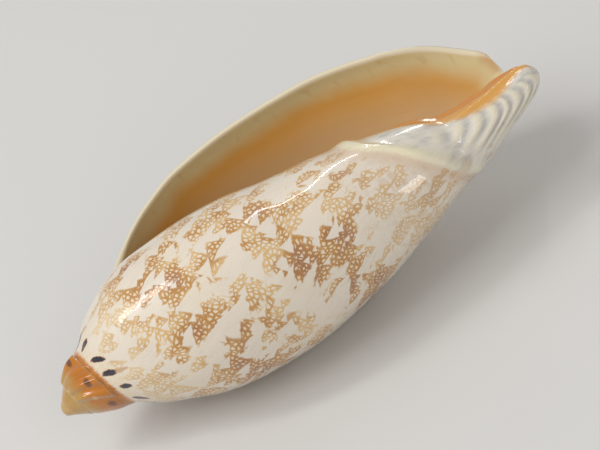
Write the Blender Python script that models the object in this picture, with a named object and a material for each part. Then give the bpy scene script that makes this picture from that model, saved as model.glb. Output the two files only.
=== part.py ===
"""A volute seashell as one closed body, in metres with +Z up.

The shell lies on its back with the opening up. Its long axis runs near X, with the apex at -X.
Its surface is stated in the shell's own terms. Depth is the distance from the apex along the axis,
turn is the angle in degrees back from the lip along the growth, and radius is the distance from the
centre line. The shell grows clockwise as seen from the apex, so it is right-handed.
"""

import math

import bmesh
import bpy
import numpy as np

# Lengths here are in millimetres and angles in degrees, unless a name says otherwise.
LENGTH = 110.0
METRES = 0.001

# The grid: columns in one turn, then rows in each zone from the suture to the front end.
COLUMNS = 48
BAND_ROWS = 7
WALL_ROWS = 8
FRONT_ROWS = 22
SPIRE_TURNS = 3
CAVITY_TURN = 240

# The suture is the spiral line where each whorl meets the one before.
SUTURE_AT_LIP = 18.7
SUTURE_RATIO = 2.64
SUTURE_GROOVE = 0.25

# How far the cavity's top corner lies below the suture, at some turns.
CORNER_TURNS = (0, 40, 90, 150, 270)
CORNER_DROPS = (2.2, 4.5, 7.0, 9.6, 8.5)

# The outlines in depth and radius. The spire's outline is shared by all of them.
SPIRE = ((0, 0.05), (0.25, 0.9), (1.1, 1.7), (3.4, 3.6), (5.6, 5.3), (7.9, 6.55), (9.6, 7.3))
LIP = ((12.3, 8.2), (18.7, 14.4), (25.2, 19.9), (34.4, 25.5), (43.6, 28.5), (55, 29.4))
LIP_FRONT = ((71.5, 28.4), (90.1, 24.4), (104, 22.0), (106, 19.5), (110, 12))
BACK = ((12.3, 8.2), (16.9, 11.1), (21.5, 13.3), (28.2, 16.2), (35, 17.7), (46.3, 18.5))
BACK_FRONT = ((64.4, 16.3), (73.4, 13.9), (82.4, 10.7), (89.1, 7.9), (93.6, 7.0), (98.1, 5.2))
BACK_TIP = ((102.6, 3.8), (107.1, 2.8), (109.5, 1.6), (110, 1.2))
FACE = ((12.4, 9.85), (16.9, 12.5), (21.5, 14.5), (27.5, 15.5), (35.2, 15.6), (46.5, 14.6))
FACE_FRONT = ((55.9, 12.3), (63.5, 11.0), (76.7, 8.0), (86, 5.6), (89.8, 4.2), (92.6, 4.0))
FACE_TIP = ((102, 3.9), (106.7, 3.3), (109.3, 2.2), (110, 1.2))
LIP_OUTLINE = SPIRE + LIP + LIP_FRONT
BACK_OUTLINE = SPIRE + BACK + BACK_FRONT + BACK_TIP
FACE_OUTLINE = SPIRE + FACE + FACE_FRONT + FACE_TIP
OUTLINE_TURNS = (0, 150, 330, 510, 690)

# The spire's whorls have the outlines above, made smaller by this ratio, below these depths. Within
# them runs the pillar, which thins out between two depths towards the tip.
WHORL_GROWTH = 1.55
BACK_FADE = (9, 14)
FACE_FADE = (6, 10)
PILLAR_RADIUS = 2.8
PILLAR_THINNING = 0.65
PILLAR_THIN_DEPTHS = (98, 110)

# The centre line bends towards one side, by these amounts at these depths.
BEND_DIRECTION = -50
BEND_DEPTHS = (0, 3.4, 7.9, 11, 22, 64, 73, 82, 89, 98, 103, 107, 110)
BEND_AMOUNTS = (0.33, 1.2, 1.7, 1.8, 1.6, 1.4, 1.2, 0.7, -0.1, -0.6, -0.4, 0.2, 0.66)

# The front edge between the lip's corner and the tip, with the notch of the siphon.
JOIN_TURN = 150
EDGE_TURNS = (0, 32, 60, 90, 115, 135, 150)
EDGE_DEPTHS = (106.2, 105.8, 103.5, 100.3, 102, 105.5, 108.7)
TIP_LOOP_DEPTH = 108.7
FLOOR_TURNS = (150, 165, 200, 240, 270)
FLOOR_DEPTHS = (108.7, 103, 96.5, 92.5, 89)
FLOOR_SLOPE = 0.19

# The cavity closes in a round over this much depth at its top corner and at its floor.
TOP_ROUND = 8
FLOOR_ROUND = 11
LEAST_GAP = 0.3

# The line of the ridge round the front end, and the row line that goes on from it to the lip.
RIDGE_TURNS = (0, 60, 110, 150, 207, 258, 290, 330, 630)
RIDGE_DEPTHS = (66, 66, 75, 90, 86, 79.7, 73.8, 71.4, 43.8)

# The wall thickens over this turn from the lip, and thins over this distance from the front edge.
LIP_WALL = 0.9
FULL_WALL = 1.9
NOTCH_WALL = 1.2
THICKENING_TURN = 25
THINNING_DEPTH = 12

# How far the lip's column sweeps back at its front end, by the distance from the end. The columns
# after it sweep less, and from this turn on they are straight.
SWEEP_TURN = 90
SWEEP_PLACES = (-17, -13.3, -8.7, -4.2, -1.9, -0.5, 0)
SWEEP_TURNS = (0, 2.3, 7, 14.5, 19, 23, 32)

# Four steep folds wind round the pillar. Each is placed by its share of the way from ridge to tip at
# one turn back from the lip, and runs on towards the tip as the turn falls.
FOLD_SHARES = (0.22, 0.38, 0.54, 0.7)
FOLD_SLOPE = 0.005
FOLD_HEIGHT = 0.9
FOLD_WIDTH = 0.055
RIDGE_HEIGHT = 0.5
RIDGE_WIDTH = 1.7

# The rings that close the tip and the apex, by their share of the way in.
TIP_RINGS = (0.35, 0.7)
APEX_RINGS = (0.3, 0.6, 0.85)
EDGE_BULGE = 0.4

# The pose: a pitch that lifts the front end, and the depth of the flat spot that it rests on.
PITCH = 7.0
FLAT_DEPTH = 0.2


def smooth_step(low, high, x):
    share = np.clip((x - low) / (high - low), 0, 1)
    return share * share * (3 - 2 * share)


def smooth_curve(knots, values, x):
    """A smooth curve through the values at the knots that never overshoots them."""
    knots = np.asarray(knots, float)
    values = np.asarray(values, float)
    if values.ndim == 1:
        values = values[:, None]
    x = np.clip(np.asarray(x, float), knots[0], knots[-1])
    steps = np.diff(knots)
    rises = np.diff(values, axis=0) / steps[:, None]
    slopes = np.empty_like(values)
    slopes[0] = rises[0]
    slopes[-1] = rises[-1]
    before = rises[:-1]
    after = rises[1:]
    near = (2 * steps[1:] + steps[:-1])[:, None]
    far = (steps[1:] + 2 * steps[:-1])[:, None]
    level = before * after <= 0
    before = np.where(level, 1, before)
    after = np.where(level, 1, after)
    slopes[1:-1] = np.where(level, 0, (near + far) / (near / before + far / after))
    place = np.clip(np.searchsorted(knots, x, side="right") - 1, 0, len(knots) - 2)
    t = (x - knots[place]) / steps[place]
    column = np.arange(x.size).reshape(x.shape) if values.shape[1] > 1 else 0
    start = values[place, column]
    end = values[place + 1, column]
    leaving = slopes[place, column] * steps[place]
    arriving = slopes[place + 1, column] * steps[place]
    rise = end - start
    bow = leaving + arriving - 2 * rise
    return start + t * (leaving + t * (rise - leaving - bow + t * bow))


def outline(points, depth):
    knots, radii = zip(*points)
    return smooth_curve(knots, radii, depth)


def pillar(depth):
    return PILLAR_RADIUS * (1 - PILLAR_THINNING * smooth_step(*PILLAR_THIN_DEPTHS, depth))


def older(points, depth, fade):
    """The outline one whorl earlier: smaller, and wound round the pillar."""
    small = outline(points, WHORL_GROWTH * depth) / WHORL_GROWTH
    share = smooth_step(*fade, depth)
    radius = (1 - share) * outline(points, depth) + share * small
    return (radius**6 + (share * pillar(depth)) ** 6) ** (1 / 6)


def whorl(turn, depth):
    """Radius of the whorl's outer face, before its suture is fitted to the whorl within."""
    stations = (
        outline(LIP_OUTLINE, depth),
        outline(BACK_OUTLINE, depth),
        outline(FACE_OUTLINE, depth),
        older(BACK_OUTLINE, depth, BACK_FADE),
        older(FACE_OUTLINE, depth, FACE_FADE),
    )
    return np.exp(smooth_curve(OUTLINE_TURNS, np.log(np.array(stations)), turn))


def suture(turn):
    return SUTURE_AT_LIP * SUTURE_RATIO ** (-np.asarray(turn, float) / 360)


def corner(turn):
    return suture(turn) + smooth_curve(CORNER_TURNS, CORNER_DROPS, turn)


def ridge(turn):
    return smooth_curve(RIDGE_TURNS, RIDGE_DEPTHS, turn)


def front_edge(turn):
    """Depth where a column of the outer face ends, at the edge, the tip's loop or the cavity's floor."""
    turn = np.asarray(turn, float)
    edge = smooth_curve(EDGE_TURNS, EDGE_DEPTHS, turn)
    return np.where(turn > JOIN_TURN + 360, floor(turn - 360), edge)


def floor(turn):
    """Depth where the cavity ends. Towards the lip it lies past the front edge."""
    turn = np.asarray(turn, float)
    deep = smooth_curve(FLOOR_TURNS, FLOOR_DEPTHS, turn)
    return np.where(turn < JOIN_TURN, TIP_LOOP_DEPTH + FLOOR_SLOPE * (JOIN_TURN - turn), deep)


def folds(turn, depth):
    """Height of the folds on the pillar and of the ridge round the front end."""
    line = ridge(turn)
    share = (depth - line) / (front_edge(turn) - line)
    height = np.zeros_like(share)
    for place in FOLD_SHARES:
        crest = place - FOLD_SLOPE * (turn - 360)
        height += FOLD_HEIGHT * np.exp(-(((share - crest) / FOLD_WIDTH) ** 2))
    height *= smooth_step(290, 340, turn)
    shown = smooth_step(125, 165, turn) * (1 - smooth_step(335, 365, turn))
    offset = (depth - line) / RIDGE_WIDTH
    height += RIDGE_HEIGHT * shown * np.exp(-(offset**2))
    return height


def outer_radius(turn, depth):
    """Radius of the outer face, fitted at its suture to the whorl within."""
    own = suture(turn)
    following = suture(turn - 360)
    height = following - own
    reach = np.clip(0.15 * height, 0.1, 3.0)
    groove = np.minimum(SUTURE_GROOVE, 0.03 * height)
    fit = whorl(turn + 360, own) - whorl(turn, own)
    radius = whorl(turn, depth) + fit * np.exp(-np.maximum(depth - own, 0) / reach)
    radius -= groove * np.exp(-np.abs(depth - own) / (0.3 * reach))
    covered = smooth_step(300, 360, turn)
    radius -= covered * groove * np.exp(-np.abs(depth - following) / (0.3 * reach))
    return radius + folds(turn, depth)


def wall(turn, depth):
    """Thickness of the outer wall, thin at the lip and by the notch."""
    thickness = LIP_WALL + (FULL_WALL - LIP_WALL) * smooth_step(0, THICKENING_TURN, turn)
    from_edge = smooth_curve(EDGE_TURNS, EDGE_DEPTHS, turn) - depth
    near_edge = 1 - smooth_step(0, THINNING_DEPTH, from_edge)
    thin = np.minimum(thickness, NOTCH_WALL)
    return thickness + (thin - thickness) * near_edge


def inner_radius(turn, depth):
    """Radius of the cavity's outer side, which closes on the whorl within at the top and at the floor."""
    inside = outer_radius(turn + 360, depth)
    gap = outer_radius(turn, depth) - wall(turn, depth) - inside
    gap = np.maximum(gap, LEAST_GAP)
    from_top = np.clip((depth - corner(turn)) / TOP_ROUND, 0, 1)
    from_floor = np.clip((floor(turn) - depth) / FLOOR_ROUND, 0, 1)
    opened = np.sqrt(from_top * (2 - from_top)) * np.sqrt(from_floor * (2 - from_floor))
    return inside + gap * opened


def placed(turn, depth, radius):
    """Points in the shell's own frame, with the apex up and the lip's outer side to the right."""
    angle = np.radians(np.asarray(turn, float) - 20)
    bend = smooth_curve(BEND_DEPTHS, BEND_AMOUNTS, depth)
    toward = math.radians(BEND_DIRECTION)
    x = radius * np.cos(angle) + bend * math.cos(toward)
    y = radius * np.sin(angle) + bend * math.sin(toward)
    return np.stack([x, y, -np.asarray(depth, float)], axis=-1)


def laid_down(points):
    """The shell's own frame turned into the pose, still in millimetres."""
    pitch = math.radians(PITCH)
    along = -points[:, 2] - LENGTH / 2
    across = points[:, 0]
    up = -points[:, 1]
    forward = along * math.cos(pitch) - up * math.sin(pitch)
    raised = along * math.sin(pitch) + up * math.cos(pitch)
    return np.stack([forward, across, raised], axis=-1)


def swept(column_turn, depth, end):
    """Turn of a grid point. Near the lip the columns sweep back at the front, round the lip's corner."""
    share = np.clip(1 - column_turn / SWEEP_TURN, 0, 1)
    return column_turn + smooth_curve(SWEEP_PLACES, SWEEP_TURNS, depth - end) * share**1.5


def column_end(column_turn):
    """Depth where the lip side's column ends, at its swept turn."""
    share = np.clip(1 - np.asarray(column_turn, float) / SWEEP_TURN, 0, 1)
    return front_edge(column_turn + SWEEP_TURNS[-1] * share**1.5)


def lower_depths(top, line, end):
    """Depths of the rows from the cavity's top corner over the ridge line to the front end."""
    wall_shares = np.linspace(0, 1, WALL_ROWS + 1)[:-1]
    front_shares = np.linspace(0, 1, FRONT_ROWS + 1)
    upper = top + (line - top) * wall_shares**1.2
    lower = line + (end - line) * front_shares
    return np.concatenate([upper, lower])


def outer_column(turn, rows):
    """Points of the outer face along one column."""
    own = suture(turn)
    following = suture(turn - 360)
    band = own + (following - own) * np.linspace(0, 1, BAND_ROWS + 1)
    end = float(column_end(turn)) if turn < SWEEP_TURN else float(front_edge(turn))
    top = float(corner(max(turn - 360, 0))) if turn >= 360 else float(following) + CORNER_DROPS[0]
    depth = np.concatenate([band, lower_depths(top, float(ridge(turn)), end)])[:rows]
    along = swept(turn, depth, end)
    return placed(along, depth, outer_radius(along, depth))


def inner_column(turn):
    """Points of the cavity's outer side along one column."""
    end = float(column_end(turn)) if turn < SWEEP_TURN else float(front_edge(turn))
    if turn > JOIN_TURN:
        end = float(floor(turn))
    depth = lower_depths(float(corner(turn)), float(ridge(turn + 360)), end)
    along = swept(turn, depth, end)
    return placed(along, depth, inner_radius(along, depth))


class Shell:
    """The shell's vertices and faces, on a grid whose sheets share their vertices where they meet."""

    def __init__(self):
        self.points = []
        self.faces = []
        self.step = 360 / COLUMNS
        self.last_row = BAND_ROWS + 1 + WALL_ROWS + FRONT_ROWS
        self.corner_row = BAND_ROWS + 1
        self.join = round(JOIN_TURN / self.step)
        self.cavity = round(CAVITY_TURN / self.step)
        self.outer = self.outer_sheet()
        self.inner = self.inner_sheet()
        self.cover()
        self.close_edge()
        self.close_tip()
        self.close_apex()
        self.close_cavity()

    def add(self, point):
        self.points.append(tuple(point))
        return len(self.points) - 1

    def face(self, *corners):
        """A face on these vertices, less any that repeats the one before it."""
        ring = [corner for i, corner in enumerate(corners) if corner != corners[i - 1]]
        if len(ring) > 2:
            self.faces.append(ring)

    def outer_sheet(self):
        sheet = []
        for i in range(SPIRE_TURNS * COLUMNS + 1):
            shown = i <= COLUMNS + self.cavity
            rows = self.last_row + 1 if shown else self.corner_row
            column = [None] * rows
            for j, point in enumerate(outer_column(i * self.step, rows)):
                joined = j == BAND_ROWS and i >= COLUMNS
                column[j] = sheet[i - COLUMNS][0] if joined else self.add(point)
            sheet.append(column)
        return sheet

    def inner_sheet(self):
        sheet = []
        for i in range(self.cavity + 1):
            column = [None] * (self.last_row + 1)
            for k, point in enumerate(inner_column(i * self.step)):
                j = self.corner_row + k
                joined = k == 0 or (j == self.last_row and i >= self.join)
                column[j] = self.outer[i + COLUMNS][j] if joined else self.add(point)
            sheet.append(column)
        return sheet

    def cover(self):
        """Faces of the body whorl, the spire, the inner lip, the pillar and the cavity's outer side."""
        for i in range(SPIRE_TURNS * COLUMNS):
            for j in range(self.last_row):
                body = i < COLUMNS
                spire = j < BAND_ROWS
                parietal = i < COLUMNS + self.cavity and j >= self.corner_row
                if body or spire or parietal:
                    here, there = self.outer[i], self.outer[i + 1]
                    self.face(here[j], here[j + 1], there[j + 1], there[j])
        for i in range(self.cavity):
            for j in range(self.corner_row, self.last_row):
                here, there = self.inner[i], self.inner[i + 1]
                self.face(here[j], there[j], there[j + 1], here[j + 1])

    def edge_middle(self, outside, within, facing):
        """A point between the two faces of the wall, moved out past the edge to round it."""
        a = np.array(self.points[outside])
        out = a - np.array(self.points[facing])
        out /= np.linalg.norm(out)
        across = np.asarray(within) - a
        return self.add((a + np.asarray(within)) / 2 + out * EDGE_BULGE * np.linalg.norm(across))

    def close_edge(self):
        """The rounded edge of the lip and of the front end, up to where it meets the tip."""
        outside = [self.outer[0][j] for j in range(self.last_row + 1)]
        end = float(column_end(0))
        middles = [outside[0]]
        for j in range(1, self.last_row + 1):
            depth = -self.points[outside[j]][2]
            turn = swept(0.0, depth, end)
            facing = self.outer[1][j] if j < self.last_row else self.outer[1][j - 1]
            outward = outer_radius(turn, depth)
            room = outward - np.maximum(outward - wall(turn, depth), outer_radius(turn + 360, depth))
            within = placed(turn, depth, outward - room)
            middles.append(self.edge_middle(outside[j], within.reshape(3), facing))
            self.face(outside[j - 1], outside[j], middles[j], middles[j - 1])
        inside = [outside[0]] + [self.inner[0][j] for j in range(self.corner_row, self.last_row + 1)]
        self.zip_rows(middles, inside)
        self.edge_end = middles[-1]
        for i in range(1, self.join + 1):
            a, b = self.outer[i][self.last_row], self.inner[i][self.last_row]
            middle = self.edge_middle(a, self.points[b], self.outer[i][self.last_row - 1])
            self.face(self.outer[i - 1][self.last_row], a, middle, self.edge_end)
            self.face(self.edge_end, middle, b, self.inner[i - 1][self.last_row])
            self.edge_end = middle

    def zip_rows(self, first, second):
        """Triangles between two lines of points that start together and run down side by side."""
        a = b = 0
        while a < len(first) - 1 or b < len(second) - 1:
            if a == len(first) - 1:
                step_first = False
            elif b == len(second) - 1:
                step_first = True
            else:
                step_first = self.points[first[a + 1]][2] > self.points[second[b + 1]][2]
            if step_first:
                self.face(first[a], first[a + 1], second[b])
                a += 1
            else:
                self.face(first[a], second[b + 1], second[b])
                b += 1

    def close_tip(self):
        loop = [self.outer[i][self.last_row] for i in range(self.join, self.join + COLUMNS + 1)]
        loop.append(self.edge_end)
        tip = placed(0.0, LENGTH, 0.0).reshape(3)
        before = loop
        for share in TIP_RINGS:
            ring = []
            for vertex in loop:
                point = np.array(self.points[vertex])
                moved = point + (tip - point) * share
                moved[2] = point[2] + (tip[2] - point[2]) * math.sin(share * math.pi / 2)
                ring.append(self.add(moved))
            self.ring_faces(before, ring)
            before = ring
        self.fan(before, self.add(tip))

    def close_apex(self):
        last = SPIRE_TURNS * COLUMNS
        loop = [self.outer[i][0] for i in range(last - COLUMNS, last + 1)]
        loop += [self.outer[last][j] for j in range(1, BAND_ROWS)]
        depths = np.array([-self.points[v][2] for v in loop])
        turns = last * self.step - 360 + 360 * np.arange(len(loop)) / len(loop)
        own = np.concatenate([np.arange(COLUMNS + 1) * self.step, np.full(BAND_ROWS - 1, 360.0)])
        own += last * self.step - 360
        before = loop
        for share in APEX_RINGS:
            around = own + (turns - own) * share
            depth = depths * (1 - share) ** 1.3
            ring = [self.add(p) for p in placed(around, depth, outline(SPIRE, depth))]
            self.ring_faces(ring, before)
            before = ring
        self.fan(before, self.add(placed(0.0, 0.0, 0.0).reshape(3)))

    def close_cavity(self):
        here = self.inner[self.cavity]
        there = self.outer[self.cavity + COLUMNS]
        for j in range(self.corner_row, self.last_row):
            self.face(here[j], there[j], there[j + 1], here[j + 1])

    def ring_faces(self, first, second):
        for i in range(len(first)):
            self.face(first[i - 1], first[i], second[i], second[i - 1])

    def fan(self, ring, centre):
        for i in range(len(ring)):
            self.face(ring[i - 1], ring[i], centre)


def shell_mesh():
    """The whole shell in its pose, standing on its flat spot, in metres."""
    shell = Shell()
    points = laid_down(np.array(shell.points))
    low = points[:, 2].min() + FLAT_DEPTH
    box = (points.min(axis=0) + points.max(axis=0)) / 2
    points -= np.array([box[0], box[1], low])
    points *= METRES
    mesh = bpy.data.meshes.new("shell")
    mesh.from_pydata([tuple(p) for p in points], [], shell.faces)
    body = bmesh.new()
    body.from_mesh(mesh)
    bmesh.ops.triangulate(body, faces=body.faces[:])
    bmesh.ops.recalc_face_normals(body, faces=body.faces[:])
    everything = body.verts[:] + body.edges[:] + body.faces[:]
    cut = bmesh.ops.bisect_plane(
        body, geom=everything, dist=1e-7, plane_co=(0, 0, 0), plane_no=(0, 0, 1), clear_inner=True
    )
    rim = [piece for piece in cut["geom_cut"] if isinstance(piece, bmesh.types.BMEdge)]
    if rim:
        bmesh.ops.contextual_create(body, geom=rim)
    bmesh.ops.recalc_face_normals(body, faces=body.faces[:])
    body.to_mesh(mesh)
    body.free()
    return mesh


def material():
    """Glossy porcelain white, the shell's main colour."""
    made = bpy.data.materials.new("shell_porcelain")
    made.use_nodes = True
    surface = made.node_tree.nodes["Principled BSDF"]
    surface.inputs["Base Color"].default_value = (0.78, 0.66, 0.48, 1)
    surface.inputs["Roughness"].default_value = 0.25
    return made


def main():
    for old in list(bpy.data.objects):
        bpy.data.objects.remove(old)
    collection = bpy.data.collections.new("damons_volute")
    bpy.context.scene.collection.children.link(collection)
    mesh = shell_mesh()
    mesh.materials.append(material())
    collection.objects.link(bpy.data.objects.new("shell", mesh))


main()
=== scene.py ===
import math
from functools import reduce

import bmesh
import bpy
import numpy as np
from mathutils import Matrix, Vector


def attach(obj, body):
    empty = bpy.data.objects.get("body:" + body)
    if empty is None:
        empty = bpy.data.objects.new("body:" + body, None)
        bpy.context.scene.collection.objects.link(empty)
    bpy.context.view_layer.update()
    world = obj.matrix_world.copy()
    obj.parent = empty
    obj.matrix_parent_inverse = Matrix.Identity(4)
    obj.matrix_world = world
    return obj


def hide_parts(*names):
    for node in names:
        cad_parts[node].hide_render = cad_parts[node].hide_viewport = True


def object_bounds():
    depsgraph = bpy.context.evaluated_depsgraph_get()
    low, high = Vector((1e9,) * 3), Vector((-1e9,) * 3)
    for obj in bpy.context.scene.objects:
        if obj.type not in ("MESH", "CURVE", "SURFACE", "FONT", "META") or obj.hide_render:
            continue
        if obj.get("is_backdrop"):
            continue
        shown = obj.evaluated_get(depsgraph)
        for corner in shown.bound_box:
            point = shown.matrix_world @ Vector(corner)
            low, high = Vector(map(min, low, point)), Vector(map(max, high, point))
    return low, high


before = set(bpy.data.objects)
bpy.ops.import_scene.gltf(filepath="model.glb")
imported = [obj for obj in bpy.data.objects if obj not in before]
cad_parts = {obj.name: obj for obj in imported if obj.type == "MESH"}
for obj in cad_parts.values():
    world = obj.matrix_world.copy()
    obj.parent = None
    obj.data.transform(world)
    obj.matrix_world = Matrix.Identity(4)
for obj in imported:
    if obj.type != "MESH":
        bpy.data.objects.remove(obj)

# Lengths are in millimetres and angles in degrees, unless a name says otherwise. Depth is the distance
# from the apex along the axis, turn is the angle back from the lip along the growth, and radius is the
# distance from the centre line.
LENGTH = 110.0
METRES = 0.001

# The grid: columns in one turn, rows in each zone from the suture to the front end, and the power by which
# they crowd towards the cavity's top corner.
COLUMNS = 180
BAND_ROWS = 30
WALL_ROWS = 40
FRONT_ROWS = 84
ROW_CROWDING = 1.2
SPIRE_TURNS = 3
CAVITY_TURN = 240

# The suture is the spiral line where each whorl meets the one before. Its groove, and the reach over which
# a whorl is fitted to the one within, follow the whorl's height within limits.
SUTURE_AT_LIP = 18.7
SUTURE_RATIO = 2.64
SUTURE_GROOVE = 0.25
GROOVE_SHARE = 0.03
GROOVE_WIDTH = 0.3
SUTURE_REACH = 0.15
SUTURE_REACH_LIMITS = (0.1, 3.0)
COVERED_TURNS = (300, 360)

# How far the cavity's top corner lies below the suture, at some turns.
CORNER_TURNS = (0, 40, 90, 150, 270)
CORNER_DROPS = (2.2, 4.5, 7.0, 9.6, 8.5)

# The outlines in depth and radius. The spire's outline is shared by all of them.
SPIRE = ((0, 0.05), (0.25, 0.9), (1.1, 1.7), (3.4, 3.6), (5.6, 5.3), (7.9, 6.55), (9.6, 7.3))
LIP = ((12.3, 8.2), (18.7, 14.4), (25.2, 19.9), (34.4, 25.5), (43.6, 28.5), (55, 29.4))
LIP_FRONT = ((71.5, 28.4), (90.1, 24.4), (104, 22.0), (106, 19.5), (110, 12))
BACK = ((12.3, 8.2), (16.9, 11.1), (21.5, 13.3), (28.2, 16.2), (35, 17.7), (46.3, 18.5))
BACK_FRONT = ((64.4, 16.3), (73.4, 13.9), (82.4, 10.7), (89.1, 7.9), (93.6, 7.0), (98.1, 5.2))
BACK_TIP = ((102.6, 3.8), (107.1, 2.8), (109.5, 1.6), (110, 1.2))
FACE = ((12.4, 9.85), (16.9, 12.5), (21.5, 14.5), (27.5, 15.5), (35.2, 15.6), (46.5, 14.6))
FACE_FRONT = ((55.9, 12.3), (63.5, 11.0), (76.7, 8.0), (86, 5.6), (89.8, 4.2), (92.6, 4.0))
FACE_TIP = ((102, 3.9), (106.7, 3.3), (109.3, 2.2), (110, 1.2))
LIP_OUTLINE = SPIRE + LIP + LIP_FRONT
BACK_OUTLINE = SPIRE + BACK + BACK_FRONT + BACK_TIP
FACE_OUTLINE = SPIRE + FACE + FACE_FRONT + FACE_TIP
OUTLINE_TURNS = (0, 150, 330, 510, 690)

# The spire's whorls have the outlines above, made smaller by this ratio, below these depths. Within
# them runs the pillar, which thins out between two depths and is blended in by a power.
WHORL_GROWTH = 1.55
BACK_FADE = (9, 14)
FACE_FADE = (6, 10)
PILLAR_RADIUS = 2.8
PILLAR_THINNING = 0.65
PILLAR_THIN_DEPTHS = (98, 110)
PILLAR_BLEND = 6

# The lip lies at this angle. The centre line bends towards one side, by these amounts at these depths.
LIP_ANGLE = -20
BEND_DIRECTION = -50
BEND_DEPTHS = (0, 3.4, 7.9, 11, 22, 64, 73, 82, 89, 98, 103, 107, 110)
BEND_AMOUNTS = (0.33, 1.2, 1.7, 1.8, 1.6, 1.4, 1.2, 0.7, -0.1, -0.6, -0.4, 0.2, 0.66)

# The front edge between the lip's corner and the tip, with the notch of the siphon.
JOIN_TURN = 150
EDGE_TURNS = (0, 32, 60, 90, 115, 135, 150)
EDGE_DEPTHS = (106.2, 105.8, 103.5, 100.3, 102, 105.5, 108.7)
TIP_LOOP_DEPTH = 108.7
FLOOR_TURNS = (150, 165, 200, 240, 270)
FLOOR_DEPTHS = (108.7, 103, 96.5, 92.5, 89)
FLOOR_SLOPE = 0.19

# The cavity closes in a round over this much depth at its top corner and at its floor.
TOP_ROUND = 8
FLOOR_ROUND = 11
LEAST_GAP = 0.3

# The line of the ridge round the front end, and the row line that goes on from it to the lip.
RIDGE_TURNS = (0, 60, 110, 150, 207, 258, 290, 330, 630)
RIDGE_DEPTHS = (66, 66, 75, 90, 86, 79.7, 73.8, 71.4, 43.8)

# The wall thickens over this turn from the lip, and thins over this distance from the front edge.
LIP_WALL = 0.9
FULL_WALL = 1.9
NOTCH_WALL = 1.2
THICKENING_TURN = 25
THINNING_DEPTH = 12

# How far the lip's column sweeps back at its front end, by the distance from the end. The columns
# after it sweep less, by a power, and from this turn on they are straight.
SWEEP_TURN = 90
SWEEP_FADE = 1.5
SWEEP_PLACES = (-17, -13.3, -8.7, -4.2, -1.9, -0.5, 0)
SWEEP_TURNS = (0, 2.3, 7, 14.5, 19, 23, 32)

# Four steep folds wind round the pillar, from this pair of turns on. Each is placed by its share of the way
# from ridge to tip at one turn back from the lip, and runs on towards the tip as the turn falls.
FOLD_TURNS = (290, 340)
FOLD_SHARES = (0.22, 0.38, 0.54, 0.7)
FOLD_SLOPE = 0.005
FOLD_HEIGHT = 0.9
FOLD_WIDTH = 0.055
FOLD_SPACING = FOLD_SHARES[1] - FOLD_SHARES[0]

# The ridge round the front end rises over the first pair of turns and falls over the second.
RIDGE_TURN_PAIRS = ((125, 165), (335, 365))
RIDGE_HEIGHT = 0.85
RIDGE_WIDTH = 1.7

# Curved growth ribs cross the front end below the ridge. Each trough between them has a number, and a
# depth where it runs level. At other turns it lies less deep by the drops, whose turns shift by the lean
# for each millimetre from the lean's depth. A power below 1 makes the crests rounder than the troughs.
RIB_TROUGHS = (81, 85, 89.3, 93.3, 96.9, 100.1, 102.2, 105.1, 107.5, 110, 112.6, 115, 118)
RIB_NUMBERS = range(8, -5, -1)
RIB_TURNS = (140, 165, 180, 195, 205, 215, 225, 235, 250, 270, 300)
RIB_DROPS = (13, 9.6, 7.4, 5.1, 3.5, 2.1, 1, 0.35, 0.1, 0.8, 3)
RIB_LEAN = 2.2
RIB_LEAN_DEPTH = 97
RIB_BELOW_RIDGE = (3, 9)
RIB_END = (107, 109)
RIB_TURN_PAIRS = ((140, 195), (246, 276))
RIB_HEIGHT = 0.5
RIB_POWER = 0.7

# A smooth crest runs down the pillar's outer side. Its turn at the lean's depth grows by the slope for each
# millimetre further down.
CREST_DEPTH_PAIRS = ((88, 95), (104, 108.5))
CREST_TURN = 286
CREST_SLOPE = 2.4
CREST_HEIGHT = 0.45
CREST_WIDTH = 11

# The pose: a pitch that lifts the front end, and the shift from the shell's own frame to the row's.
PITCH = 7.0
PLACE = (-0.0462119, 6.3196856, -20.3202581)


def ease(low, high, x):
    share = np.clip((x - low) / (high - low), 0, 1)
    return share * share * (3 - 2 * share)


def between(rise, fall, x):
    """1 between the rise and the fall, 0 outside them, and smooth over each."""
    return ease(*rise, x) * (1 - ease(*fall, x))


def curve(knots, values, x):
    """A smooth curve through the values at the knots that never overshoots them."""
    knots = np.asarray(knots, float)
    values = np.asarray(values, float)
    if values.ndim == 1:
        values = values[:, None]
    x = np.clip(np.asarray(x, float), knots[0], knots[-1])
    steps = np.diff(knots)
    rises = np.diff(values, axis=0) / steps[:, None]
    level = rises[:-1] * rises[1:] <= 0
    before = np.where(level, 1, rises[:-1])
    after = np.where(level, 1, rises[1:])
    near = (2 * steps[1:] + steps[:-1])[:, None]
    far = (steps[1:] + 2 * steps[:-1])[:, None]
    inner = np.where(level, 0, (near + far) / (near / before + far / after))
    slopes = np.concatenate([rises[:1], inner, rises[-1:]])
    place = np.clip(np.searchsorted(knots, x, side="right") - 1, 0, len(knots) - 2)
    t = (x - knots[place]) / steps[place]
    column = np.arange(x.size).reshape(x.shape) if values.shape[1] > 1 else 0
    start = values[place, column]
    end = values[place + 1, column]
    leaving = slopes[place, column] * steps[place]
    arriving = slopes[place + 1, column] * steps[place]
    rise = end - start
    bow = leaving + arriving - 2 * rise
    return start + t * (leaving + t * (rise - leaving - bow + t * bow))


def outline(points, depth):
    knots, radii = zip(*points)
    return curve(knots, radii, depth)


def pillar(depth):
    return PILLAR_RADIUS * (1 - PILLAR_THINNING * ease(*PILLAR_THIN_DEPTHS, depth))


def older(points, depth, fade):
    """The outline one whorl earlier: smaller, and wound round the pillar."""
    small = outline(points, WHORL_GROWTH * depth) / WHORL_GROWTH
    share = ease(*fade, depth)
    radius = (1 - share) * outline(points, depth) + share * small
    return (radius**PILLAR_BLEND + (share * pillar(depth)) ** PILLAR_BLEND) ** (1 / PILLAR_BLEND)


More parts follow.
